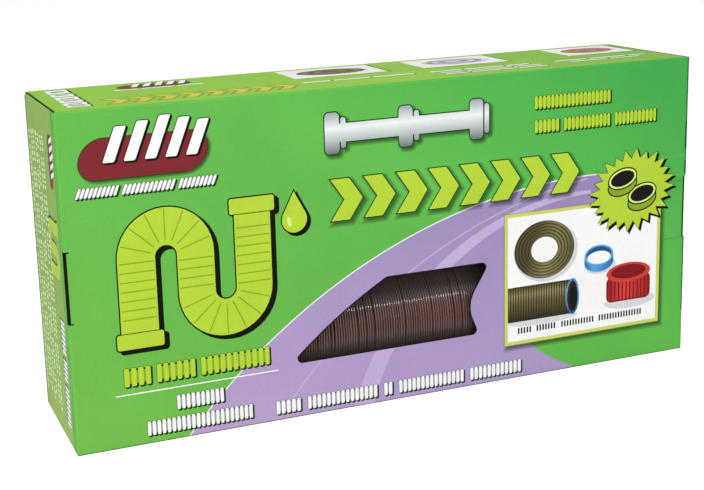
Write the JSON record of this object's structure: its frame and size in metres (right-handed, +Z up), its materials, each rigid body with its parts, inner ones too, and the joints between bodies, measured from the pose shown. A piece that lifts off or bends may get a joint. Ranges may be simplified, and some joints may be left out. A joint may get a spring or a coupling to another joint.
{
  "type": "sewer hose kit",
  "caption": "Ribbed drain hose folded into a U with a sizing ring in each mouth, packed in a printed roll-end carton with a die-cut window and a hinged rear lid.",
  "frame": {"origin": "middle of the carton's footprint, on the surface that it stands on", "axes": "+X along the carton to the right of someone who looks at the windowed front face, -Y out of that face, +Z up"},
  "size_m": [0.45, 0.101, 0.216],
  "materials": {
    "printed_board": "litho-printed corrugated board, satin varnish",
    "kraft_board": "unprinted brown kraft liner, matt",
    "vinyl": "ribbed flexible vinyl, semi-gloss",
    "ring_plastic": "moulded, semi-gloss"
  },
  "bodies": {
    "carton": {"front_panel": "printed_board", "top_wall": "printed_board", "bottom_wall": "printed_board", "end_wall_left": "printed_board", "end_wall_right": "printed_board", "end_rim_left": "printed_board", "end_rim_right": "printed_board", "inner_wall_left": "kraft_board", "inner_wall_right": "kraft_board", "lock_tab_left": "kraft_board", "lock_tab_right": "kraft_board", "corner_flap_upper_left": "kraft_board", "corner_flap_upper_right": "kraft_board", "corner_flap_lower_left": "kraft_board", "corner_flap_lower_right": "kraft_board", "hose": "vinyl", "sizing_ring_lower": "ring_plastic", "sizing_ring_upper": "ring_plastic"},
    "lid": {"lid_panel": "printed_board"},
    "tuck": {"tuck_flap": "printed_board"}
  },
  "joints": [
    {"name": "lid_hinge", "type": "hinge", "parent": "carton", "child": "lid", "pos_m": [0, 0.0505, 0], "axis": [1, 0, 0], "range_deg": [-90, 0]},
    {"name": "tuck_fold", "type": "hinge", "parent": "lid", "child": "tuck", "pos_m": [0, 0.0505, 0.2141], "axis": [1, 0, 0], "range_deg": [-90, 0]}
  ],
  "couplings": [
    {"joint": "tuck_fold", "follows": "lid_hinge", "ratio": 1}
  ]
}
